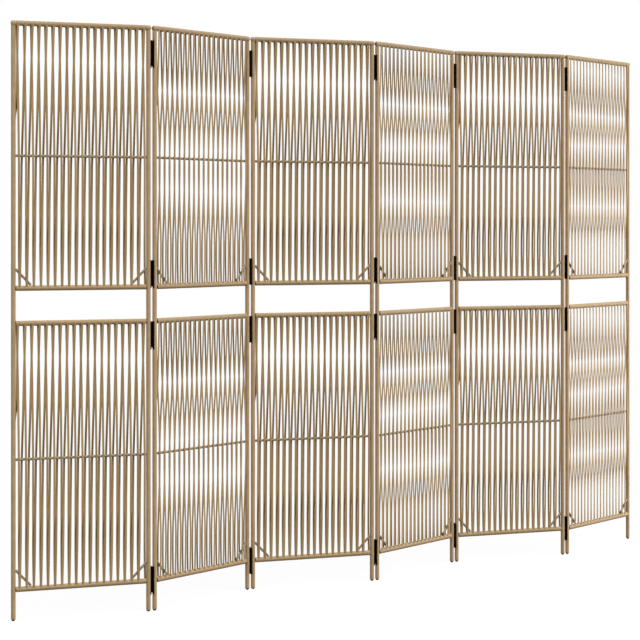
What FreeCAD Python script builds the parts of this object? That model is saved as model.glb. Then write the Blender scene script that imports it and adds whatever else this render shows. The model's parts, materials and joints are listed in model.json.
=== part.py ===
import FreeCAD, Part
import math
import os

from FreeCAD import Placement, Rotation, Vector

# Folding screen of six wound panels, standing in a zigzag.
# One panel is drawn in its own frame: x along the panel from the left post's axis, y to the back, z up.
# The same pieces are then placed six times along the hinge chain.

doc = FreeCAD.newDocument("FoldingScreen")
sheet = doc.addObject("Spreadsheet::Sheet", "Sizes")

driving_sizes = [
    # Whole screen
    ("screen_height", 1800.0),
    ("post_spacing", 414.0),
    ("rest_angle", 15.0),
    # Posts and their plugs
    ("post_diameter", 14.0),
    ("post_wall", 1.0),
    ("cap_length", 15.0),
    ("cap_width", 16.0),
    ("cap_bevel", 3.0),
    ("foot_diameter", 13.6),
    ("foot_height", 5.0),
    ("foot_bevel", 3.0),
    ("stem_length", 15.0),
    ("stem_clearance", 0.1),
    # Rails: a steel rod inside a close winding
    ("rod_width", 6.0),
    ("middle_rod_width", 7.8),
    ("wrap_width", 17.0),
    ("wrap_clearance", 0.05),
    ("lower_foot_rail", 94.0),
    ("lower_head_rail", 891.0),
    ("band_height", 105.5),
    ("upper_middle_drop", 0.25),
    ("lower_middle_drop", 9.5),
    ("brace_rise", 52.0),
    ("weld_gap", 0.05),
    ("wrap_end_gap", 0.2),
    # Strands: front and back layer, told by where they meet the head rail and the foot rail
    ("strand_width", 6.9),
    ("strand_depth", 2.0),
    ("strand_pitch", 21.4),
    ("strand_seat_gap", 0.1),
    ("front_strand_head", 11.0),
    ("front_strand_foot", 19.1),
    ("back_strand_head", 36.3),
    ("back_strand_foot", 19.1),
    ("first_strand_head", 14.9),
    ("first_strand_foot", 9.8),
    ("first_strand_tail", 10.0),
    # Hinges
    ("hinge_1_drop", 89.0),
    ("hinge_2_rise", 38.5),
    ("hinge_3_drop", 44.0),
    ("leaf_height", 86.0),
    ("leaf_thickness", 1.5),
    ("leaf_reach", 6.0),
    ("leaf_bevel", 8.0),
    ("leaf_spacing", 0.44),
    ("barrel_diameter", 7.0),
    ("barrel_clearance", 0.3),
    ("pin_offset", 9.0),
    ("pin_diameter", 4.0),
    ("pin_clearance", 0.05),
    ("pin_overhang", 1.0),
]

for row, (alias, value) in enumerate(driving_sizes, 1):
    sheet.set("A%d" % row, alias)
    sheet.set("B%d" % row, str(value))
    sheet.setAlias("B%d" % row, alias)
doc.recompute()


def size(alias):
    return float(sheet.get(alias))


panel_count = 6
rail_sides = 8
trim_sides = 12
stem_sides = 4
across = Vector(0, 1, 0)
upright = Vector(0, 0, 1)

post_spacing = size("post_spacing")
post_radius = size("post_diameter") / 2
half_cap = size("cap_length") / 2
half_wrap = size("wrap_width") / 2
half_strand = size("strand_width") / 2
half_strand_depth = size("strand_depth") / 2
head_height = size("screen_height") - half_wrap
lower_foot_height = size("lower_foot_rail")
lower_head_height = size("lower_head_rail")
upper_foot_height = lower_head_height + size("band_height")
upper_middle_height = (head_height + upper_foot_height) / 2 - size("upper_middle_drop")
lower_middle_height = (lower_head_height + lower_foot_height) / 2 - size("lower_middle_drop")
upper_field = "(Sizes.screen_height - Sizes.wrap_width / 2 - Sizes.lower_head_rail - Sizes.band_height)"
lower_field = "(Sizes.lower_head_rail - Sizes.lower_foot_rail)"


def cylinder(name, radius, height, position):
    piece = doc.addObject("Part::Cylinder", name)
    piece.setExpression("Radius", radius)
    piece.setExpression("Height", height)
    piece.Placement = Placement(position, Rotation())
    return piece


def prism(name, sides, circumradius, height, place):
    piece = doc.addObject("Part::Prism", name)
    piece.Polygon = sides
    piece.setExpression("Circumradius", circumradius)
    piece.setExpression("Height", height)
    piece.Placement = place
    return piece


def box(name, length, width, height, place):
    piece = doc.addObject("Part::Box", name)
    piece.setExpression("Length", length)
    piece.setExpression("Width", width)
    piece.setExpression("Height", height)
    piece.Placement = place
    return piece


def cut(name, base, tool):
    piece = doc.addObject("Part::Cut", name)
    piece.Base = base
    piece.Tool = tool
    return piece


def common(name, base, tool):
    piece = doc.addObject("Part::Common", name)
    piece.Base = base
    piece.Tool = tool
    return piece


def fuse(name, pieces):
    piece = doc.addObject("Part::MultiFuse", name)
    piece.Shapes = pieces
    piece.Refine = True
    return piece


def group(name, pieces, place=Placement()):
    piece = doc.addObject("Part::Compound", name)
    piece.Links = pieces
    piece.Placement = place
    return piece


def bevel(name, base, reach, belongs):
    doc.recompute()
    edges = [(number, reach, reach) for number, edge in enumerate(base.Shape.Edges, 1)
             if all(belongs(vertex.Point) for vertex in edge.Vertexes)]
    piece = doc.addObject("Part::Chamfer", name)
    piece.Base = base
    piece.Edges = edges
    return piece


def lying(start, turn):
    # An eight-sided bar with flats to the front and back, leaning by turn from upright
    flat_turn = Rotation(upright, 180.0 / rail_sides)
    return Placement(start, Rotation(across, turn).multiply(flat_turn))


# Posts

flat_to_corner = " / 2 / cos(180 / %d)" % rail_sides
cap_start = head_height - size("cap_width") / 2
post_length = "Sizes.screen_height - (Sizes.wrap_width + Sizes.cap_width) / 2 - Sizes.foot_height"
bore_radius = "Sizes.post_diameter / 2 - Sizes.post_wall"
posts = []
for side, post_x in (("left", 0.0), ("right", post_spacing)):
    post_place = Placement(Vector(post_x, 0, size("foot_height")), Rotation())
    tube = cylinder("tube_" + side, "Sizes.post_diameter / 2", post_length, post_place.Base)
    bore = prism("tube_bore_" + side, trim_sides, bore_radius, post_length, post_place)
    posts.append(cut("post_" + side, tube, bore))
panel_posts = group("panel_posts", posts)

# Caps and feet: a cap carries the head rail's line out over its post and ends it in a bevel.
# Both have a stem that fits the post's bore.

stem_radius = "(%s) * cos(180 / %d) - Sizes.stem_clearance" % (bore_radius, trim_sides)
caps = []
feet = []
for side, post_x, cap_end in (("left", 0.0, -half_cap), ("right", post_spacing, post_spacing + half_cap)):
    cap_place = lying(Vector(post_x - half_cap, 0, head_height), 90)
    cap_blank = prism("cap_blank_" + side, rail_sides, "Sizes.cap_width" + flat_to_corner,
                      "Sizes.cap_length", cap_place)
    cap_head = bevel("cap_head_" + side, cap_blank, size("cap_bevel"),
                     lambda point: abs(point.x - cap_end) < 0.001)
    neck_place = Placement(Vector(post_x, 0, cap_start), Rotation())
    cap_neck = prism("cap_neck_" + side, trim_sides, "Sizes.post_diameter / 2",
                     "Sizes.cap_width / 2", neck_place)
    cap_stem_place = Placement(Vector(post_x, 0, cap_start - size("stem_length")), Rotation())
    cap_stem = prism("cap_stem_" + side, stem_sides, stem_radius, "Sizes.stem_length", cap_stem_place)
    caps.append(fuse("cap_" + side, [cap_head, cap_neck, cap_stem]))

    foot_place = Placement(Vector(post_x, 0, 0), Rotation())
    foot_blank = prism("foot_blank_" + side, trim_sides, "Sizes.foot_diameter / 2",
                       "Sizes.foot_height", foot_place)
    foot_pad = bevel("foot_pad_" + side, foot_blank, size("foot_bevel"), lambda point: point.z < 0.001)
    foot_stem_place = Placement(Vector(post_x, 0, size("foot_height")), Rotation())
    foot_stem = prism("foot_stem_" + side, stem_sides, stem_radius, "Sizes.stem_length", foot_stem_place)
    feet.append(fuse("foot_" + side, [foot_pad, foot_stem]))
panel_caps = group("panel_caps", caps)
panel_feet = group("panel_feet", feet)

# Rail rods, middle rods and corner braces

rod_corner = "Sizes.rod_width" + flat_to_corner
middle_corner = "Sizes.middle_rod_width" + flat_to_corner
between_posts = "Sizes.post_spacing - Sizes.post_diameter - 2 * Sizes.weld_gap"
between_caps = "Sizes.post_spacing - Sizes.cap_length - 2 * Sizes.weld_gap"
rod_start = post_radius + size("weld_gap")
rods = [prism("head_rod", rail_sides, rod_corner, between_caps,
              lying(Vector(half_cap + size("weld_gap"), 0, head_height), 90))]
for name, height, corner in (
    ("upper_foot_rod", upper_foot_height, rod_corner),
    ("lower_head_rod", lower_head_height, rod_corner),
    ("lower_foot_rod", lower_foot_height, rod_corner),
    ("upper_middle_rod", upper_middle_height, middle_corner),
    ("lower_middle_rod", lower_middle_height, middle_corner),
):
    rods.append(prism(name, rail_sides, corner, between_posts, lying(Vector(rod_start, 0, height), 90)))

brace_angle = 45.0
brace_overrun = 2 * size("rod_width")
brace_length = "(Sizes.brace_rise + 4 * Sizes.rod_width) * sqrt(2)"
for field, rail_height in (("upper", upper_foot_height), ("lower", lower_foot_height)):
    brace_top = rail_height + size("brace_rise") + brace_overrun
    left_start = Vector(post_radius - brace_overrun, 0, brace_top)
    left_bar = prism("brace_bar_left_" + field, rail_sides, rod_corner, brace_length,
                     lying(left_start, 180 - brace_angle))
    right_start = Vector(post_spacing - post_radius + brace_overrun, 0, brace_top)
    right_bar = prism("brace_bar_right_" + field, rail_sides, rod_corner, brace_length,
                      lying(right_start, 180 + brace_angle))
    bars = group("brace_bars_" + field, [left_bar, right_bar])
    corner_start = Vector(rod_start, -size("rod_width"), rail_height + half_wrap + size("weld_gap"))
    corner = box("brace_room_" + field, between_posts, "2 * Sizes.rod_width", "2 * Sizes.brace_rise",
                 Placement(corner_start, Rotation()))
    rods.append(common("braces_" + field, bars, corner))
panel_rods = group("panel_rods", rods)

# Rail wraps: the close winding around each rail rod

wrap_corner = "Sizes.wrap_width" + flat_to_corner
wrap_bore_corner = "(Sizes.rod_width + 2 * Sizes.wrap_clearance)" + flat_to_corner
wrap_length = "Sizes.post_spacing - Sizes.cap_length - 2 * Sizes.wrap_end_gap"
wrap_start = half_cap + size("wrap_end_gap")
wraps = []
for name, height in (
    ("upper_head", head_height),
    ("upper_foot", upper_foot_height),
    ("lower_head", lower_head_height),
    ("lower_foot", lower_foot_height),
):
    wrap_place = lying(Vector(wrap_start, 0, height), 90)
    sleeve = prism("sleeve_" + name, rail_sides, wrap_corner, wrap_length, wrap_place)
    sleeve_bore = prism("sleeve_bore_" + name, rail_sides, wrap_bore_corner, wrap_length, wrap_place)
    wraps.append(cut("wrap_" + name, sleeve, sleeve_bore))
panel_wraps = group("panel_wraps", wraps)

# Strands: each runs between two rails and is mitred on the flat of the winding that it meets

layer_depth = half_wrap - half_strand_depth - size("weld_gap")
layer_inside = layer_depth - half_strand_depth
post_reach = math.sqrt(max(post_radius ** 2 - layer_inside ** 2, 0))
last_strand = post_spacing - post_reach - half_strand - size("strand_seat_gap")


def strand(name, head, foot, rise, depth):
    # head and foot are (x, z) of the strand's middle line
    lean = math.degrees(math.atan2(head[0] - foot[0], head[1] - foot[1]))
    turn = Rotation(across, lean)
    corner = turn.multVec(Vector(-half_strand, -half_strand_depth, 0))
    place = Placement(Vector(foot[0], depth, foot[1]).add(corner), turn)
    return box(name, "Sizes.strand_width", "Sizes.strand_depth", rise, place)


def strand_field(name, head_z, middle_z, foot_z, rise, first_rise):
    front_foot = size("front_strand_foot")
    pairs = int((last_strand - front_foot) / size("strand_pitch")) + 1
    first_head = (size("first_strand_head"), head_z)
    first_foot = (size("first_strand_foot"), middle_z - size("first_strand_tail"))
    strands = [strand(name + "_first", first_head, first_foot, first_rise, layer_depth)]
    for number in range(pairs):
        step = number * size("strand_pitch")
        head = (size("front_strand_head") + step, head_z)
        foot = (front_foot + step, foot_z)
        strands.append(strand("%s_front_%d" % (name, number), head, foot, rise, -layer_depth))
    for number in range(pairs - 1):
        step = number * size("strand_pitch")
        head = (size("back_strand_head") + step, head_z)
        foot = (size("back_strand_foot") + step, foot_z)
        strands.append(strand("%s_back_%d" % (name, number), head, foot, rise, layer_depth))
    seat_corner = "(Sizes.wrap_width + 2 * Sizes.strand_seat_gap)" + flat_to_corner
    seats = [prism("%s_seat_%s" % (name, end), rail_sides, seat_corner, "Sizes.post_spacing",
                   lying(Vector(0, 0, height), 90))
             for end, height in (("head", head_z), ("foot", foot_z))]
    return cut(name, group(name + "_blanks", strands), group(name + "_seats", seats))


panel_upper_strands = strand_field(
    "upper_strands", head_height, upper_middle_height, upper_foot_height, upper_field,
    upper_field + " / 2 + Sizes.upper_middle_drop + Sizes.first_strand_tail")
panel_lower_strands = strand_field(
    "lower_strands", lower_head_height, lower_middle_height, lower_foot_height, lower_field,
    lower_field + " / 2 + Sizes.lower_middle_drop + Sizes.first_strand_tail")

# Hinge leaves, drawn about the pin's axis with the panels' front at -y.
# The lower corner at the back is bevelled: it is on the pin's side at a ridge, and the far one at a valley.

leaf_heights = [
    size("screen_height") - size("hinge_1_drop"),
    upper_foot_height + size("hinge_2_rise"),
    lower_head_height - size("hinge_3_drop"),
    lower_foot_height,
]
half_leaf = size("leaf_height") / 2
half_spacing = size("leaf_spacing") / 2
plate_front = -(size("pin_offset") + size("leaf_reach"))
plate_back = -(size("barrel_diameter") / 2 + size("barrel_clearance"))
plate_depth = "Sizes.pin_offset + Sizes.leaf_reach - Sizes.barrel_diameter / 2 - Sizes.barrel_clearance"
full_knuckle = "(Sizes.leaf_height - Sizes.barrel_clearance) / 2"
short_knuckle = full_knuckle + " - Sizes.leaf_bevel"
pin_bore_corner = "(Sizes.pin_diameter + 2 * Sizes.pin_clearance)" + flat_to_corner
tab_depth = "(Sizes.barrel_diameter - Sizes.pin_diameter) / 4 + 2 * Sizes.barrel_clearance"
tab_front = -(size("barrel_diameter") / 2 + 2 * size("barrel_clearance"))
left_plate = -half_spacing - size("leaf_thickness")
right_plate = half_spacing
upper_start = size("barrel_clearance") / 2
bevel_start = size("leaf_bevel") - half_leaf


def at_each_height(name, piece):
    stations = [group("%s_%d" % (name, number), [piece], Placement(Vector(0, 0, height), Rotation()))
                for number, height in enumerate(leaf_heights, 1)]
    return group(name + "_set", stations)


def hinge_leaves(name, plate_x, bevel_y, knuckle_start, knuckle_length):
    plate = box(name + "_plate", "Sizes.leaf_thickness", plate_depth, "Sizes.leaf_height",
                Placement(Vector(plate_x, plate_front, -half_leaf), Rotation()))
    plate_bevelled = bevel(name + "_plate_bevelled", plate, size("leaf_bevel"),
                           lambda point: point.z < 0.001 - half_leaf and abs(point.y - bevel_y) < 0.001)
    tab = box(name + "_tab", "Sizes.leaf_thickness", tab_depth, knuckle_length,
              Placement(Vector(plate_x, tab_front, knuckle_start), Rotation()))
    barrel = prism(name + "_barrel", trim_sides, "Sizes.barrel_diameter / 2", knuckle_length,
                   Placement(Vector(0, 0, knuckle_start), Rotation()))
    body = fuse(name + "_body", [plate_bevelled, tab, barrel])
    bore = prism(name + "_bore", rail_sides, pin_bore_corner, "Sizes.leaf_height",
                 Placement(Vector(0, 0, -half_leaf), Rotation()))
    return at_each_height(name, cut(name, body, bore))


def hinge_pins(name, start, length):
    pin = cylinder(name, "Sizes.pin_diameter / 2", length + " + 2 * Sizes.pin_overhang",
                   Vector(0, 0, start - size("pin_overhang")))
    return at_each_height(name, pin)


ridge_left = hinge_leaves("ridge_left_leaf", left_plate, plate_back, upper_start, full_knuckle)
ridge_right = hinge_leaves("ridge_right_leaf", right_plate, plate_back, bevel_start, short_knuckle)
ridge_pins = hinge_pins("ridge_pin", bevel_start, "Sizes.leaf_height - Sizes.leaf_bevel")
valley_left = hinge_leaves("valley_left_leaf", left_plate, plate_front, upper_start, full_knuckle)
valley_right = hinge_leaves("valley_right_leaf", right_plate, plate_front, -half_leaf, full_knuckle)
valley_pins = hinge_pins("valley_pin", -half_leaf, "Sizes.leaf_height")

# The hinge chain: pins behind the panels at ridges, in front of them at valleys

half_gap = post_radius + size("weld_gap") + size("leaf_thickness") + size("leaf_spacing") / 2
panel_turns = [(-1) ** (number + 1) * size("rest_angle") for number in range(panel_count)]
panel_places = [Placement(Vector(0, 0, 0), Rotation(upright, panel_turns[0]))]
for number in range(1, panel_count):
    pin_y = (-1) ** (number + 1) * size("pin_offset")
    pin_point = panel_places[-1].multVec(Vector(post_spacing + half_gap, pin_y, 0))
    next_turn = Rotation(upright, panel_turns[number])
    panel_places.append(Placement(pin_point.sub(next_turn.multVec(Vector(-half_gap, pin_y, 0))), next_turn))

first_post = panel_places[0].multVec(Vector(0, 0, 0))
ridge_post = panel_places[0].multVec(Vector(post_spacing, 0, 0))
end_post = panel_places[-1].multVec(Vector(post_spacing, 0, 0))
centre = Vector((first_post.x + end_post.x) / 2, (first_post.y + ridge_post.y) / 2, 0)
panel_places = [Placement(place.Base.sub(centre), place.Rotation) for place in panel_places]

# Named sub-parts

sub_parts = []
for number, place in enumerate(panel_places, 1):
    for name, pieces in (
        ("posts", panel_posts),
        ("caps", panel_caps),
        ("feet", panel_feet),
        ("rods", panel_rods),
        ("rail_wraps", panel_wraps),
        ("upper_strands", panel_upper_strands),
        ("lower_strands", panel_lower_strands),
    ):
        sub_parts.append(group("panel_%d_%s" % (number, name), [pieces], place))

# At a valley the hinge is turned half round, so its two leaves change sides

for number in range(1, panel_count):
    ridge = number % 2 == 1
    pin_y = size("pin_offset") if ridge else -size("pin_offset")
    facing = Rotation() if ridge else Rotation(upright, 180)
    near_leaves, far_leaves = (ridge_left, ridge_right) if ridge else (valley_right, valley_left)
    left_pin = Placement(Vector(post_spacing + half_gap, pin_y, 0), facing)
    right_pin = Placement(Vector(-half_gap, pin_y, 0), facing)
    left_place = panel_places[number - 1].multiply(left_pin)
    right_place = panel_places[number].multiply(right_pin)
    sub_parts.append(group("hinge_%d_left_leaves" % number, [near_leaves], left_place))
    sub_parts.append(group("hinge_%d_right_leaves" % number, [far_leaves], right_place))
    sub_parts.append(group("hinge_%d_pins" % number, [ridge_pins if ridge else valley_pins], left_place))

doc.recompute()

for item in doc.Objects:
    if "Invalid" in item.State or "Error" in item.State:
        raise RuntimeError("%s did not build: %s" % (item.Name, item.State))
for part in sub_parts:
    if part.Shape.isNull() or not part.Shape.isValid():
        raise RuntimeError("%s has no valid shape" % part.Label)

os.makedirs("parts", exist_ok=True)
for part in sub_parts:
    part.Shape.exportStep("parts/%s.step" % part.Label)
    print(part.Label, len(part.Shape.Solids), "solids")
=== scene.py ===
import json
import math

import bmesh
import bpy
from mathutils import Matrix, Vector


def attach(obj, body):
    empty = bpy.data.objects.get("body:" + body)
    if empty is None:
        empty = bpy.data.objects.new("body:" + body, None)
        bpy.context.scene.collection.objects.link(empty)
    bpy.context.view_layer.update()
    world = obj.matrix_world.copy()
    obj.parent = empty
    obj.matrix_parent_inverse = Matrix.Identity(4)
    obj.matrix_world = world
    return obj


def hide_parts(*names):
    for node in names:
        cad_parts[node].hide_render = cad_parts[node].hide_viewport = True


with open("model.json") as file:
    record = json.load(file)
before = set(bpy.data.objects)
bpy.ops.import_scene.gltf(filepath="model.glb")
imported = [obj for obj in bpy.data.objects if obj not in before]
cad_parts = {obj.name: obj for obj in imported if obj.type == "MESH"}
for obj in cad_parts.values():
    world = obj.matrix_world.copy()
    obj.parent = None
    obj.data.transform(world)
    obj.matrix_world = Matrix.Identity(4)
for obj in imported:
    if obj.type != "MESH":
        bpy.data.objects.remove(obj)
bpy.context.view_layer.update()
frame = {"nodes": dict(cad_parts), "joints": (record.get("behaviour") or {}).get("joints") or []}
mm = 0.001
print("frame loaded:", len(frame["nodes"]), "nodes")


def linear(hexCode):
    # sRGB hex to the linear values that sockets take
    parts = [int(hexCode[i:i + 2], 16) / 255 for i in (1, 3, 5)]
    return tuple(c / 12.92 if c <= 0.04045 else ((c + 0.055) / 1.055) ** 2.4 for c in parts) + (1.0,)


def addNode(tree, kind, settings=None, inputs=None):
    node = tree.nodes.new(kind)
    for key, value in (settings or {}).items():
        setattr(node, key, value)
    for key, value in (inputs or {}).items():
        if isinstance(value, bpy.types.NodeSocket):
            tree.links.new(value, node.inputs[key])
        else:
            node.inputs[key].default_value = value
    return node


def newMaterial(name, finish):
    material = bpy.data.materials.new(name)
    material.use_nodes = True
    tree = material.node_tree
    shader = tree.nodes["Principled BSDF"]
    for key, value in finish.items():
        shader.inputs[key].default_value = value
    place = addNode(tree, "ShaderNodeTexCoord").outputs["Object"]
    return material, tree, shader, place


def noise(tree, place, scale, detail):
    return addNode(tree, "ShaderNodeTexNoise", inputs={
        "Vector": place, "Scale": scale, "Detail": detail}).outputs["Fac"]


def colourBy(tree, shader, share, dark, light, span=(0.0, 1.0)):
    # from dark to light over this span of the share
    ramp = addNode(tree, "ShaderNodeValToRGB", inputs={"Fac": share})
    for element, at, colour in zip(ramp.color_ramp.elements, span, (dark, light)):
        element.position = at
        element.color = linear(colour)
    tree.links.new(ramp.outputs["Color"], shader.inputs["Base Color"])


def bumpBy(tree, shader, height, strength, depth):
    bump = addNode(tree, "ShaderNodeBump", inputs={
        "Height": height, "Strength": strength, "Distance": depth})
    tree.links.new(bump.outputs["Normal"], shader.inputs["Normal"])


# Where the panels stand: left post of each panel and its turn, from the pins of the hinge chain

chain = {
    "panels": 6,
    "postSpacing": 414.0,
    "postToPin": 8.77,      # along the panel, from the post's middle to the pin
    "pinOffset": 9.0,       # from the panel's middle plane to the pin
    "turn": 15.0,           # degrees either way
}
pins = {joint["name"]: Vector(joint["pos_m"]) for joint in frame["joints"]}


def panelMatrix(number):
    turn = Matrix.Rotation(math.radians(chain["turn"] * (-1) ** number), 4, "Z")
    side = 1 if number % 2 == 1 else -1     # the pin at the panel's right end is behind it on odd panels
    if number < chain["panels"]:
        pin = pins["hinge_%d_turn" % number]
        reach = Vector((chain["postSpacing"] + chain["postToPin"], side * chain["pinOffset"], 0)) * mm
    else:
        pin = pins["hinge_%d_turn" % (number - 1)]
        reach = Vector((-chain["postToPin"], -side * chain["pinOffset"], 0)) * mm
    corner = pin - turn @ reach
    return Matrix.Translation((corner.x, corner.y, 0)) @ turn


panels = {number: panelMatrix(number) for number in range(1, chain["panels"] + 1)}
rails = {                   # heights of their middle lines
    "upperHead": 1791.5,
    "upperFoot": 996.5,
    "lowerHead": 891.0,
    "lowerFoot": 94.0,
}
print("panels placed")


# Polyethylene rattan: extruded flat band, satin, with fine lengthwise streaks and tones that differ by strand

rattan = {
    "finish": {"Roughness": 0.5, "IOR": 1.51, "Specular IOR Level": 0.3},
    "detail": 3.0,
    "toneShare": 0.35,          # how far a strand's own tone moves it between dark and light
    "span": (0.35, 0.95),
    "bump": (0.25, 0.0003),     # strength, metres
}


def polyRattan(name, streaks, dark, light):
    material, tree, shader, place = newMaterial(name, rattan["finish"])
    stretched = addNode(tree, "ShaderNodeMapping", inputs={"Vector": place, "Scale": streaks})
    streak = noise(tree, stretched.outputs[0], 1.0, rattan["detail"])      # the mapping has set the scale
    tone = addNode(tree, "ShaderNodeAttribute", {"attribute_name": "strandTone"})
    mixed = addNode(tree, "ShaderNodeMath", {"operation": "MULTIPLY_ADD"},
                    {0: tone.outputs["Fac"], 1: rattan["toneShare"], 2: streak})
    colourBy(tree, shader, mixed.outputs[0], dark, light, rattan["span"])
    bumpBy(tree, shader, streak, *rattan["bump"])
    return material


uprightStreaks = (900.0, 900.0, 14.0)       # 1 mm wide
woundFlecks = (420.0, 420.0, 420.0)         # 2.4 mm wide
uprightStrand = polyRattan("polyethyleneRattanUpright", uprightStreaks, "#8e744a", "#ad9267")
woundStrand = polyRattan("polyethyleneRattanWound", woundFlecks, "#a18660", "#c5aa83")


# Powder-coated steel: an even skin with faint orange peel, satin in beige and matte in black

satin = {"Roughness": 0.5, "Specular IOR Level": 0.3}
dull = {"Roughness": 0.8, "Specular IOR Level": 0.05}
coat = {
    "peel": (500.0, 2.0),       # scale, detail
    "cloud": (35.0, 4.0),
    "span": (0.3, 0.75),
    "bump": (0.2, 0.0002),      # strength, metres
}


def powderCoat(name, dark, light, finish):
    material, tree, shader, place = newMaterial(name, finish)
    peel = noise(tree, place, *coat["peel"])
    cloud = noise(tree, place, *coat["cloud"])
    colourBy(tree, shader, cloud, dark, light, coat["span"])
    bumpBy(tree, shader, peel, *coat["bump"])
    return material


beigeCoat = powderCoat("powderCoatedSteelBeige", "#ab8e6a", "#ba9d76", satin)
rodCoat = powderCoat("powderCoatedSteelRod", "#907c5e", "#a28e70", satin)
blackCoat = powderCoat("powderCoatedSteelBlack", "#050403", "#0a0807", dull)


# Polypropylene mouldings: satin in beige and matte in black, with a fine spark-eroded grain

moulding = {
    "grain": (800.0, 3.0),      # scale, detail
    "bump": (0.15, 0.0002),     # strength, metres
}


def moulded(name, dark, light, finish):
    material, tree, shader, place = newMaterial(name, finish)
    grain = noise(tree, place, *moulding["grain"])
    colourBy(tree, shader, grain, dark, light)
    bumpBy(tree, shader, grain, *moulding["bump"])
    return material


capPlastic = moulded("polypropyleneBeige", "#aa8f6c", "#baa07e", satin)
footPlastic = moulded("polypropyleneBlack", "#030303", "#070606", dull)


# Zinc-plated steel: a bright drawn wire with faint scratches along it

zinc = {
    "finish": {"Metallic": 1.0, "Roughness": 0.35},
    "scratches": (1500.0, 1500.0, 60.0),
    "detail": 2.0,
    "dark": "#6f6d68",
    "light": "#a7a59f",
}


def zincPlate(name):
    material, tree, shader, place = newMaterial(name, zinc["finish"])
    drawn = addNode(tree, "ShaderNodeMapping", inputs={"Vector": place, "Scale": zinc["scratches"]})
    scratch = noise(tree, drawn.outputs[0], 1.0, zinc["detail"])           # the mapping has set the scale
    colourBy(tree, shader, scratch, zinc["dark"], zinc["light"])
    return material


zincPin = zincPlate("zincPlatedSteel")
print("materials made")


# Shared mesh work: everything is drawn in the panel's own frame in millimetres, then put in place

sharpAngle = 40         # degrees between two faces from which their edge shows


def lathe(bm, profile, place, sides):
    # profile is (radius, height) from the bottom up; it is closed at both ends
    turns = [2 * math.pi * step / sides for step in range(sides)]
    rings = []
    for radius, height in profile:
        rings.append([bm.verts.new(place @ Vector((radius * math.cos(turn), radius * math.sin(turn), height)))
                      for turn in turns])
    bm.faces.new(reversed(rings[0]))
    bm.faces.new(rings[-1])
    for low, high in zip(rings, rings[1:]):
        for step in range(sides):
            after = (step + 1) % sides
            bm.faces.new((low[step], low[after], high[after], high[step]))


def rod(bm, start, end, radius, sides):
    along = Vector(end) - Vector(start)
    place = Matrix.Translation(start) @ along.to_track_quat("Z", "X").to_matrix().to_4x4()
    lathe(bm, [(radius, 0.0), (radius, along.length)], place, sides)


def finishPiece(name, mesh, material, place, body, nodes):
    mesh.transform(place @ Matrix.Scale(mm, 4))
    mesh.materials.clear()
    mesh.materials.append(material)
    for polygon in mesh.polygons:
        polygon.use_smooth = True
    mesh.set_sharp_from_angle(angle=math.radians(sharpAngle))
    piece = bpy.data.objects.new(name, mesh)
    bpy.context.scene.collection.objects.link(piece)
    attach(piece, body)
    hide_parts(*nodes)


def meshFrom(bm, name):
    bmesh.ops.recalc_face_normals(bm, faces=bm.faces)
    mesh = bpy.data.meshes.new(name)
    bm.to_mesh(mesh)
    bm.free()
    return mesh


# Posts with their caps and feet

post = {
    "radius": 7.0,
    "low": 5.0,
    "high": 1783.2,
    "rimRound": 0.8,
    "rimMiddle": 0.3,           # the rounding's middle ring, as a share of it
    "rimGuard": 3.0,            # a ring this many roundings in keeps the rim's shading off the long side
    "capMiddle": rails["upperHead"],
    "capRadius": 7.9,
    "capReach": 7.5,            # either side of the post's axis
    "capRound": 4.0,
    "capInnerGap": 0.1,         # what the inner end is short of that reach
    "capChamfer": 0.4,
    "neckRadius": 6.6,
    "neckGap": 0.4,             # above the end of the tube
    "neckChamfer": (0.3, 0.4),  # inward, upward
    "footRadius": 5.6,
    "footRound": 4.6,
    "roundSteps": 6,
    "sides": 32,
}


def quarterRound(radius, end, reach):
    # from the side of a turned piece to its end face
    turns = [math.pi / 2 * step / post["roundSteps"] for step in range(post["roundSteps"] + 1)]
    return [(radius - reach * (1 - math.cos(turn)), end - reach * (1 - math.sin(turn))) for turn in turns]


rim = post["rimRound"]
rimMiddle = post["rimMiddle"] * rim
tubeEnd = [(post["radius"] - rim, 0.0), (post["radius"] - rimMiddle, rimMiddle), (post["radius"], rim),
           (post["radius"], post["rimGuard"] * rim)]
tubeProfile = [(radius, post["low"] + inward) for radius, inward in tubeEnd]
tubeProfile += [(radius, post["high"] - inward) for radius, inward in reversed(tubeEnd)]

# a cap is the head rail's line carried out over the post, rounded at its end, with a neck down to the tube
capStart = post["capInnerGap"] - post["capReach"]
capProfile = [(post["capRadius"] - post["capChamfer"], capStart),
              (post["capRadius"], capStart + post["capChamfer"])]
capProfile += quarterRound(post["capRadius"], post["capReach"], post["capRound"])

neckStart = post["high"] + post["neckGap"]
chamferIn, chamferUp = post["neckChamfer"]
neckProfile = [(post["neckRadius"] - chamferIn, neckStart), (post["neckRadius"], neckStart + chamferUp),
               (post["neckRadius"], post["capMiddle"])]

footDome = quarterRound(post["footRadius"], 0.0, post["footRound"])
footProfile = [(radius, -height) for radius, height in reversed(footDome)]
footProfile.append((post["footRadius"], post["low"]))

for number, place in panels.items():
    body = "panel_%d" % number
    tubes, caps, feet = bmesh.new(), bmesh.new(), bmesh.new()
    for centre, outward in ((0.0, -1), (chain["postSpacing"], 1)):
        upright = Matrix.Translation((centre, 0, 0))
        outwards = Matrix.Rotation(outward * math.pi / 2, 4, "Y")
        lying = Matrix.Translation((centre, 0, post["capMiddle"])) @ outwards
        lathe(tubes, tubeProfile, upright, post["sides"])
        lathe(caps, capProfile, lying, post["sides"])
        lathe(caps, neckProfile, upright, post["sides"])
        lathe(feet, footProfile, upright, post["sides"])
    turned = (("Posts", tubes, beigeCoat, "frame_tube"), ("Caps", caps, capPlastic, "post_cap"),
              ("Feet", feet, footPlastic, "foot"))
    for label, bm, material, slot in turned:
        finishPiece("panel%d%s" % (number, label), meshFrom(bm, label.lower()), material, place, body,
                    [body + "_" + label.lower()])
print("posts, caps and feet made")


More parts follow.
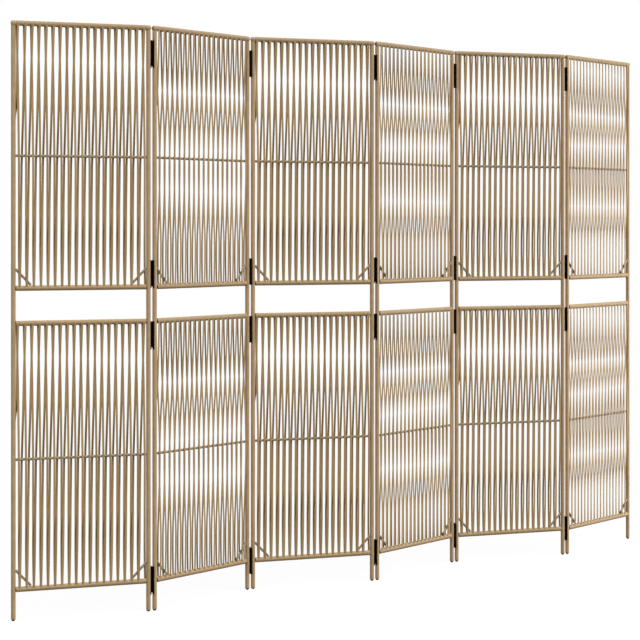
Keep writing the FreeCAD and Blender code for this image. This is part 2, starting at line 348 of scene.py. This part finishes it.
# Rods: rail cores, middle rods and corner braces

rods = {
    "radius": 3.0,
    "middleRadius": 3.9,
    "endGap": 0.6,              # between rail cores or middle rods and the posts
    "rails": tuple(rails.values()),
    "middles": (1393.75, 483.0),
    "braceRails": (rails["upperFoot"], rails["lowerFoot"]),
    "braceRise": 57.5,          # from the rail up to where the brace meets the post
    "braceRun": 52.5,           # from the post's middle to where its line meets the winding
    "braceEnd": 9.5,            # height of that end above the rail
    "sides": 14,
}
rodStart = post["radius"] + rods["endGap"]
rodEnd = chain["postSpacing"] - rodStart
for number, place in panels.items():
    body = "panel_%d" % number
    bm = bmesh.new()
    for height in rods["rails"]:
        rod(bm, (rodStart, 0, height), (rodEnd, 0, height), rods["radius"], rods["sides"])
    for height in rods["middles"]:
        rod(bm, (rodStart, 0, height), (rodEnd, 0, height), rods["middleRadius"], rods["sides"])
    for height in rods["braceRails"]:
        top, end = height + rods["braceRise"], height + rods["braceEnd"]
        for middle, inward in ((0.0, 1), (chain["postSpacing"], -1)):
            rod(bm, (middle + inward * post["radius"], 0, top), (middle + inward * rods["braceRun"], 0, end),
                rods["middleRadius"], rods["sides"])
    finishPiece("panel%dRods" % number, meshFrom(bm, "rods"), rodCoat, place, body,
                [body + "_rods"])
print("rods made")


# Shared node work for the flat bands of the fields and the winding

# every other input is a float
socketTypes = {"Count": "NodeSocketInt", "Seed": "NodeSocketInt", "Finish": "NodeSocketMaterial"}


def newTree(name, labels):
    tree = bpy.data.node_groups.new(name, "GeometryNodeTree")
    for label in labels:
        kind = socketTypes.get(label, "NodeSocketFloat")
        tree.interface.new_socket(label, in_out="INPUT", socket_type=kind)
    tree.interface.new_socket("Geometry", in_out="OUTPUT", socket_type="NodeSocketGeometry")
    return tree, addNode(tree, "NodeGroupInput").outputs


def bandSection(tree, given, sides):
    # a circle one millimetre across, drawn out to the band's depth and width
    circle = addNode(tree, "GeometryNodeCurvePrimitiveCircle", inputs={"Resolution": sides, "Radius": 0.5})
    oval = addNode(tree, "ShaderNodeCombineXYZ", inputs={"X": given["Depth"], "Y": given["Width"], "Z": 1.0})
    return addNode(tree, "GeometryNodeTransform", inputs={
        "Geometry": circle.outputs["Curve"], "Scale": oval.outputs[0]}).outputs[0]


def closeTree(tree, geometry, given):
    solid = addNode(tree, "GeometryNodeRealizeInstances", inputs={"Geometry": geometry})
    shown = addNode(tree, "GeometryNodeSetMaterial", inputs={
        "Geometry": solid.outputs[0], "Material": given["Finish"]})
    addNode(tree, "NodeGroupOutput", inputs={0: shown.outputs[0]})
    return tree


def runTree(tree, values):
    # lets a tree make its geometry on an empty mesh and gives back a plain mesh
    holder = bpy.data.objects.new("holder", bpy.data.meshes.new("holder"))
    bpy.context.scene.collection.objects.link(holder)
    modifier = holder.modifiers.new("nodes", "NODES")
    modifier.node_group = tree
    for item in tree.interface.items_tree:
        if item.in_out == "INPUT":
            modifier[item.identifier] = values[item.name]
    bpy.context.view_layer.update()
    seen = holder.evaluated_get(bpy.context.evaluated_depsgraph_get())
    mesh = bpy.data.meshes.new_from_object(seen)
    holder.modifiers.remove(modifier)
    bpy.data.objects.remove(holder)
    return mesh


# Strand fields: each strand leaves the head rail at the back, crosses to the front of the middle rod and goes
# back again. The next one does the opposite, so the two layers change places twice between the rails.

strands = {
    "pitch": 21.4,
    "width": 7.0,           # a flat band with rounded edges
    "depth": 2.0,
    # paths are (share of the way from head rail to foot rail, millimetres); a negative depth is at the front
    "down": {               # behind at the rails
        "count": 19,
        "sideways": ((0.0, 11.0), (0.14, 13.2), (0.24, 14.4), (0.5, 15.5), (0.535, 16.0), (0.57, 16.0),
                     (0.68, 16.5), (0.78, 17.5), (0.88, 17.9), (1.0, 19.6)),
        "depth": ((0.0, 6.2), (0.15, 5.3), (0.28, 0.7), (0.36, -3.0), (0.44, -5.5), (0.52, -6.5),
                  (0.6, -5.3), (0.76, 1.5), (0.88, 4.9), (1.0, 5.0)),
    },
    "up": {                 # in front at the rails
        "count": 18,
        "sideways": ((0.0, 36.1), (0.07, 33.9), (0.2, 31.3), (0.36, 29.2), (0.5, 26.7), (0.535, 25.8),
                     (0.57, 25.5), (0.7, 23.5), (0.88, 20.6), (1.0, 18.0)),
        "depth": ((0.0, -6.3), (0.07, -6.8), (0.14, -5.6), (0.28, -0.7), (0.36, 2.8), (0.44, 5.2),
                  (0.52, 6.3), (0.6, 4.8), (0.76, -2.2), (0.88, -6.2), (1.0, -6.5)),
    },
    "first": {              # runs beside the left post, then behind it, and ends there below the middle rod
        "count": 1,
        "sideways": ((0.0, 13.6), (0.14, 11.6), (0.4, 10.5), (0.58, 10.5), (0.64, 8.5), (0.7, 5.5),
                     (0.78, 4.2), (1.0, 4.2)),
        "depth": ((0.0, -6.3), (0.14, -6.6), (0.28, -5.4), (0.5, -0.5), (0.58, 4.0), (0.64, 6.8),
                  (0.7, 8.0), (0.78, 8.2), (1.0, 8.2)),
    },
    "spans": 30,
    "sides": 10,
    "seed": 7,              # each panel, field and kind of strand draws its tones from a seed of its own
    "seedPerPanel": 10,
    "seedPerField": 3,
    "fields": (             # head rail, foot rail, end of the first strand
        (rails["upperHead"], rails["upperFoot"], 1384.0),
        (rails["lowerHead"], rails["lowerFoot"], 473.0),
    ),
}


def floatCurve(tree, share, points):
    low = min(value for _, value in points)
    high = max(value for _, value in points)
    node = addNode(tree, "ShaderNodeFloatCurve", inputs={"Value": share})
    line = node.mapping.curves[0]
    scaled = [(at, (value - low) / (high - low)) for at, value in points]
    line.points[0].location = scaled[0]
    line.points[1].location = scaled[-1]
    for at, value in scaled[1:-1]:
        line.points.new(at, value)
    node.mapping.update()
    return addNode(tree, "ShaderNodeMapRange", inputs={
        "Value": node.outputs[0], "To Min": low, "To Max": high}).outputs[0]


def strandTree(name, kind):
    tree, given = newTree(name, ("Count", "Pitch", "Head", "Foot", "Width", "Depth", "Seed", "Finish"))
    top = addNode(tree, "ShaderNodeCombineXYZ", inputs={"Z": given["Head"]})
    bottom = addNode(tree, "ShaderNodeCombineXYZ", inputs={"Z": given["Foot"]})
    line = addNode(tree, "GeometryNodeCurvePrimitiveLine", inputs={
        "Start": top.outputs[0], "End": bottom.outputs[0]})
    steps = addNode(tree, "GeometryNodeResampleCurve", inputs={
        "Curve": line.outputs[0], "Count": strands["spans"] + 1})
    share = addNode(tree, "GeometryNodeSplineParameter").outputs["Factor"]
    bend = addNode(tree, "ShaderNodeCombineXYZ", inputs={
        "X": floatCurve(tree, share, kind["sideways"]), "Y": floatCurve(tree, share, kind["depth"])})
    path = addNode(tree, "GeometryNodeSetPosition", inputs={
        "Geometry": steps.outputs[0], "Offset": bend.outputs[0]})
    upright = addNode(tree, "GeometryNodeSetCurveNormal", {"mode": "FREE"},
                      {0: path.outputs[0], "Normal": (0, 1, 0)})
    band = addNode(tree, "GeometryNodeCurveToMesh", inputs={
        "Curve": upright.outputs[0], "Profile Curve": bandSection(tree, given, strands["sides"]),
        "Fill Caps": True})
    step = addNode(tree, "ShaderNodeCombineXYZ", inputs={"X": given["Pitch"]})
    row = addNode(tree, "GeometryNodeMeshLine", {"mode": "OFFSET"},
                  {"Count": given["Count"], "Offset": step.outputs[0]})
    copies = addNode(tree, "GeometryNodeInstanceOnPoints", inputs={
        "Points": row.outputs[0], "Instance": band.outputs[0]})
    tone = addNode(tree, "FunctionNodeRandomValue", {"data_type": "FLOAT"}, {"Seed": given["Seed"]})
    toned = addNode(tree, "GeometryNodeStoreNamedAttribute", {"data_type": "FLOAT", "domain": "INSTANCE"},
                    {"Geometry": copies.outputs[0], "Name": "strandTone", "Value": tone.outputs["Value"]})
    return closeTree(tree, toned.outputs[0], given)


def joined(meshes, name):
    bm = bmesh.new()
    for mesh in meshes:
        bm.from_mesh(mesh)
        bpy.data.meshes.remove(mesh)
    mesh = bpy.data.meshes.new(name)
    bm.to_mesh(mesh)
    bm.free()
    return mesh


strandTrees = {kind: strandTree("strands_" + kind, strands[kind]) for kind in ("down", "up", "first")}
for number, place in panels.items():
    body = "panel_%d" % number
    made = []
    for fieldNumber, (head, foot, firstEnd) in enumerate(strands["fields"]):
        fieldSeed = strands["seed"] + strands["seedPerPanel"] * number + strands["seedPerField"] * fieldNumber
        for kindNumber, (kind, tree) in enumerate(strandTrees.items()):
            made.append(runTree(tree, {
                "Count": strands[kind]["count"], "Pitch": strands["pitch"],
                "Head": head, "Foot": firstEnd if kind == "first" else foot,
                "Width": strands["width"], "Depth": strands["depth"],
                "Seed": fieldSeed + kindNumber, "Finish": uprightStrand}))
    finishPiece("panel%dStrands" % number, joined(made, "strands"), uprightStrand, place, body,
                [body + "_upper_strands", body + "_lower_strands"])
print("strand fields made")


# Rail winding: the strand lies in close turns around each rail rod

winding = {
    "radius": 7.3,          # of the band's middle line
    "width": 7.3,
    "depth": 2.2,
    "turnPitch": 7.1333,    # three turns for each pair of upright strands
    "start": 11.2,
    "end": 402.8,
    "stepsPerTurn": 16,
    "stepsPerHoop": 32,
    "sides": 8,
}


def windingTree(name):
    tree, given = newTree(name, ("Turns", "Length", "Radius", "Width", "Depth", "Start", "Finish"))
    section = bandSection(tree, given, winding["sides"])
    spiral = addNode(tree, "GeometryNodeCurveSpiral", inputs={
        "Resolution": winding["stepsPerTurn"], "Rotations": given["Turns"], "Height": given["Length"],
        "Start Radius": given["Radius"], "End Radius": given["Radius"]})
    flat = addNode(tree, "GeometryNodeSetCurveNormal", {"mode": "Z_UP"}, {0: spiral.outputs[0]})
    band = addNode(tree, "GeometryNodeCurveToMesh", inputs={
        "Curve": flat.outputs[0], "Profile Curve": section, "Fill Caps": True})
    # the first and last turns close on themselves, square against the posts
    hoop = addNode(tree, "GeometryNodeCurvePrimitiveCircle", inputs={
        "Resolution": winding["stepsPerHoop"], "Radius": given["Radius"]})
    level = addNode(tree, "GeometryNodeSetCurveNormal", {"mode": "Z_UP"}, {0: hoop.outputs["Curve"]})
    ring = addNode(tree, "GeometryNodeCurveToMesh", inputs={
        "Curve": level.outputs[0], "Profile Curve": section})
    farEnd = addNode(tree, "ShaderNodeCombineXYZ", inputs={"Z": given["Length"]})
    farRing = addNode(tree, "GeometryNodeTransform", inputs={
        "Geometry": ring.outputs[0], "Translation": farEnd.outputs[0]})
    oneRail = addNode(tree, "GeometryNodeJoinGeometry")
    for part in (band, ring, farRing):
        tree.links.new(part.outputs[0], oneRail.inputs[0])
    everyRail = addNode(tree, "GeometryNodeJoinGeometry")
    for height in rods["rails"]:
        at = addNode(tree, "ShaderNodeCombineXYZ", inputs={"X": given["Start"], "Z": height})
        laid = addNode(tree, "GeometryNodeTransform", inputs={
            "Geometry": oneRail.outputs[0], "Translation": at.outputs[0],
            "Rotation": (0.0, math.pi / 2, 0.0)})
        tree.links.new(laid.outputs[0], everyRail.inputs[0])
    return closeTree(tree, everyRail.outputs[0], given)


woundRail = windingTree("woundRail")
windingLength = winding["end"] - winding["start"]
for number, place in panels.items():
    body = "panel_%d" % number
    mesh = runTree(woundRail, {
        "Turns": windingLength / winding["turnPitch"], "Length": windingLength, "Radius": winding["radius"],
        "Width": winding["width"], "Depth": winding["depth"], "Start": winding["start"],
        "Finish": woundStrand})
    finishPiece("panel%dWinding" % number, mesh, woundStrand, place, body, [body + "_rail_wraps"])
print("rails wound")


# Hinges: two leaves with a barrel each, and a pin; at a valley the hinge is turned half round

hinge = {
    "heights": (1711.0, 1035.0, 847.0, 94.0),
    "leafHeight": 86.0,
    "leafThickness": 1.5,
    "leafSpacing": 0.44,
    "leafFront": -15.0,         # from the pin's axis
    "leafBack": -3.8,
    "leafBevel": 8.0,
    "tabInto": 0.6,             # how far a leaf's tab reaches into its barrel
    "barrelRadius": 3.45,
    "barrelRound": 0.4,
    "barrelGap": 0.3,
    "pinRadius": 2.0,
    "pinRound": 0.7,
    "pinOverhang": 1.0,
    "edgeRound": 0.3,
    "edgeAngle": 0.5,           # radians between two faces from which their edge is rounded
    "edgeSegments": 2,
    "barrelSides": 20,
}


def turnedAtHinges(bm, radius, low, high, ease):
    # a barrel or a pin at each height of the hinges, eased at both ends
    profile = [(radius - ease, low), (radius, low + ease), (radius, high - ease), (radius - ease, high)]
    for middle in hinge["heights"]:
        lathe(bm, profile, Matrix.Translation((0, 0, middle)), hinge["barrelSides"])


def leafMesh(side, ridge):
    # side is -1 for the leaf with the upper barrel and 1 for the other
    # the lower corner at the screen's back is bevelled: by the pin at a ridge, the far one at a valley
    bm = bmesh.new()
    upper = side < 0
    inner = side * hinge["leafSpacing"] / 2
    half = hinge["leafHeight"] / 2
    front, back, cut = hinge["leafFront"], hinge["leafBack"], hinge["leafBevel"]
    gap = hinge["barrelGap"] / 2
    tabEnd = hinge["tabInto"] - hinge["barrelRadius"]
    barrelLow = gap if upper else (cut - half if ridge else -half)
    barrelHigh = half if upper else -gap
    # from the front edge up and round to the tab, then down the back
    outline = [(front, -half) if ridge else (front, cut - half), (front, half)]
    if upper:
        outline += [(tabEnd, half), (tabEnd, gap), (back, gap)]
    else:
        outline += [(back, half), (back, -gap), (tabEnd, -gap), (tabEnd, barrelLow)]
    if ridge:
        outline += ([(back, cut - half)] if upper else []) + [(back - cut, -half)]
    else:
        outline += ([(back, -half)] if upper else []) + [(front + cut, -half)]
    for middle in hinge["heights"]:
        face = bm.faces.new([bm.verts.new((inner, depth, middle + height)) for depth, height in outline])
        pushed = bmesh.ops.extrude_face_region(bm, geom=[face])["geom"]
        bmesh.ops.translate(bm, vec=(side * hinge["leafThickness"], 0, 0),
                            verts=[part for part in pushed if isinstance(part, bmesh.types.BMVert)])
    bmesh.ops.recalc_face_normals(bm, faces=bm.faces)
    edges = [edge for edge in bm.edges if edge.calc_face_angle(0) > hinge["edgeAngle"]]
    bmesh.ops.bevel(bm, geom=edges, offset=hinge["edgeRound"], segments=hinge["edgeSegments"], affect="EDGES",
                    profile=0.5)
    turnedAtHinges(bm, hinge["barrelRadius"], barrelLow, barrelHigh, hinge["barrelRound"])
    return meshFrom(bm, "leaf")


def pinMesh(ridge):
    bm = bmesh.new()
    high = hinge["leafHeight"] / 2 + hinge["pinOverhang"]
    low = (hinge["leafBevel"] if ridge else 0) - high
    turnedAtHinges(bm, hinge["pinRadius"], low, high, hinge["pinRound"])
    return meshFrom(bm, "pin")


for number in range(1, chain["panels"]):
    ridge = number % 2 == 1
    depth = chain["pinOffset"] if ridge else -chain["pinOffset"]
    facing = Matrix.Identity(4) if ridge else Matrix.Rotation(math.pi, 4, "Z")
    leftPin = Matrix.Translation(Vector((chain["postSpacing"] + chain["postToPin"], depth, 0)) * mm) @ facing
    rightPin = Matrix.Translation(Vector((-chain["postToPin"], depth, 0)) * mm) @ facing
    leftPlace = panels[number] @ leftPin
    rightPlace = panels[number + 1] @ rightPin
    leftBody, rightBody = "panel_%d" % number, "panel_%d" % (number + 1)
    leftSide, rightSide = (-1, 1) if ridge else (1, -1)
    name = "hinge_%d" % number
    finishPiece("hinge%dLeftLeaves" % number, leafMesh(leftSide, ridge), blackCoat, leftPlace, leftBody,
                [name + "_left_leaves"])
    finishPiece("hinge%dRightLeaves" % number, leafMesh(rightSide, ridge), blackCoat, rightPlace, rightBody,
                [name + "_right_leaves"])
    finishPiece("hinge%dPins" % number, pinMesh(ridge), zincPin, leftPlace, leftBody,
                [name + "_pins"])
print("hinges made")


# Floor, light and camera

studio = {
    "white": "#ffffff",
    "floorSize": 40.0,
    "floorShade": "#3c3a38",    # what the light sees; the camera sees it white
    "shadowPaper": "#e7e7e7",
    "shadowShow": 0.08,         # share of that paper and its shadows which the camera sees in the middle
    "shadowFade": (0.6, 2.6),   # metres from the middle at which the shadow begins to fade and is gone
    "skyLight": 0.26,
    "groundLight": 0.0,
    "horizon": (-0.1, 0.15),    # upward share of the direction over which the ground changes to sky
    "lampWidth": 0.4,           # radians that each lamp fills in the sky
    "lamps": {                  # degrees to the right of the screen's front, degrees up, strength
        "top": (18, 65, 1.8),
        "front": (20, 25, 1.1),
        "fill": (-60, 20, 0.3),
        "back": (-168, 35, 2.0),
    },
    "windowSize": (1.2, 2.0),
    "windows": {                # bright upright openings beyond the two ends
        "rightWindow": {"place": (3.0, -1.0, 1.0), "aim": (0.8, 0.0, 0.8), "watts": 48.0},
        "leftWindow": {"place": (-3.6, -1.4, 2.0), "aim": (-0.8, 0.0, 0.9), "watts": 20.0},
    },
}
white = linear(studio["white"])


def seenDirectly(tree):
    # 1 for what the camera, a mirror or glass sees, 0 for the light that falls on the screen
    path = addNode(tree, "ShaderNodeLightPath").outputs
    seen = path["Is Camera Ray"]
    for ray in ("Is Glossy Ray", "Is Transmission Ray"):
        seen = addNode(tree, "ShaderNodeMath", {"operation": "MAXIMUM"}, {0: seen, 1: path[ray]}).outputs[0]
    return seen


def mixShaders(tree, share, first, second):
    return addNode(tree, "ShaderNodeMixShader", inputs={0: share, 1: first.outputs[0], 2: second.outputs[0]})


world = bpy.data.worlds.new("studio")
bpy.context.scene.world = world
world.use_nodes = True
tree = world.node_tree
tree.nodes.clear()
direction = addNode(tree, "ShaderNodeTexCoord").outputs["Generated"]
upward = addNode(tree, "ShaderNodeSeparateXYZ", inputs={0: direction}).outputs["Z"]
ground, sky = studio["horizon"]
dome = addNode(tree, "ShaderNodeMapRange", inputs={
    "Value": upward, "From Min": ground, "From Max": sky,
    "To Min": studio["groundLight"], "To Max": studio["skyLight"]})
soft = addNode(tree, "ShaderNodeBackground", inputs={"Color": white, "Strength": dome.outputs[0]})
plain = addNode(tree, "ShaderNodeBackground", inputs={"Color": white, "Strength": 1.0})
mix = mixShaders(tree, seenDirectly(tree), soft, plain)
addNode(tree, "ShaderNodeOutputWorld", inputs={0: mix.outputs[0]})

floorMesh = bpy.data.meshes.new("floor")
half = studio["floorSize"] / 2
corners = [(-half, -half, 0), (half, -half, 0), (half, half, 0), (-half, half, 0)]
floorMesh.from_pydata(corners, [], [(0, 1, 2, 3)])
floor = bpy.data.objects.new("floor", floorMesh)
bpy.context.scene.collection.objects.link(floor)
paper = bpy.data.materials.new("backdropPaper")
paper.use_nodes = True
tree = paper.node_tree
tree.nodes.clear()
place = addNode(tree, "ShaderNodeTexCoord").outputs["Object"]
away = addNode(tree, "ShaderNodeVectorMath", {"operation": "LENGTH"}, {0: place})
near, far = studio["shadowFade"]
fade = addNode(tree, "ShaderNodeMapRange", {"interpolation_type": "SMOOTHSTEP"}, {
    "Value": away.outputs["Value"], "From Min": near, "From Max": far,
    "To Min": 1 - studio["shadowShow"], "To Max": 1.0})
matte = addNode(tree, "ShaderNodeBsdfDiffuse", inputs={"Color": linear(studio["floorShade"])})
pale = addNode(tree, "ShaderNodeBsdfDiffuse", inputs={"Color": linear(studio["shadowPaper"])})
glow = addNode(tree, "ShaderNodeEmission", inputs={"Color": white, "Strength": 1.0})
shown = mixShaders(tree, fade.outputs[0], pale, glow)
mix = mixShaders(tree, seenDirectly(tree), matte, shown)
addNode(tree, "ShaderNodeOutputMaterial", inputs={0: mix.outputs[0]})
floorMesh.materials.append(paper)


def addLamp(name, kind, strength):
    data = bpy.data.lights.new(name, kind)
    data.energy = strength
    lamp = bpy.data.objects.new(name, data)
    bpy.context.scene.collection.objects.link(lamp)
    return lamp


for name, (azimuth, height, strength) in studio["lamps"].items():
    lamp = addLamp(name, "SUN", strength)
    lamp.data.angle = studio["lampWidth"]
    lamp.rotation_euler = (math.radians(90 - height), 0, math.radians(azimuth))

for name, window in studio["windows"].items():
    lamp = addLamp(name, "AREA", window["watts"])
    lamp.data.shape = "RECTANGLE"
    lamp.data.size, lamp.data.size_y = studio["windowSize"]
    lamp.location = window["place"]
    toward = Vector(window["aim"]) - Vector(window["place"])
    lamp.rotation_euler = toward.to_track_quat("-Z", "Y").to_euler()

view = {
    "place": (-3.4576, -4.8799, 1.1863),
    "turn": 33.876,         # degrees to the right of the screen's normal
    "lens": 100.0,
    "sensor": 36.0,
    "shiftX": -0.0008,
    "shiftY": -0.1485,
}
cameraData = bpy.data.cameras.new("camera")
cameraData.lens = view["lens"]
cameraData.sensor_width = view["sensor"]
cameraData.shift_x = view["shiftX"]
cameraData.shift_y = view["shiftY"]
camera = bpy.data.objects.new("camera", cameraData)
camera.location = view["place"]
camera.rotation_euler = (math.pi / 2, 0, -math.radians(view["turn"]))
bpy.context.scene.collection.objects.link(camera)
bpy.context.scene.camera = camera
bpy.context.scene.view_settings.view_transform = "Standard"
print("stage set")
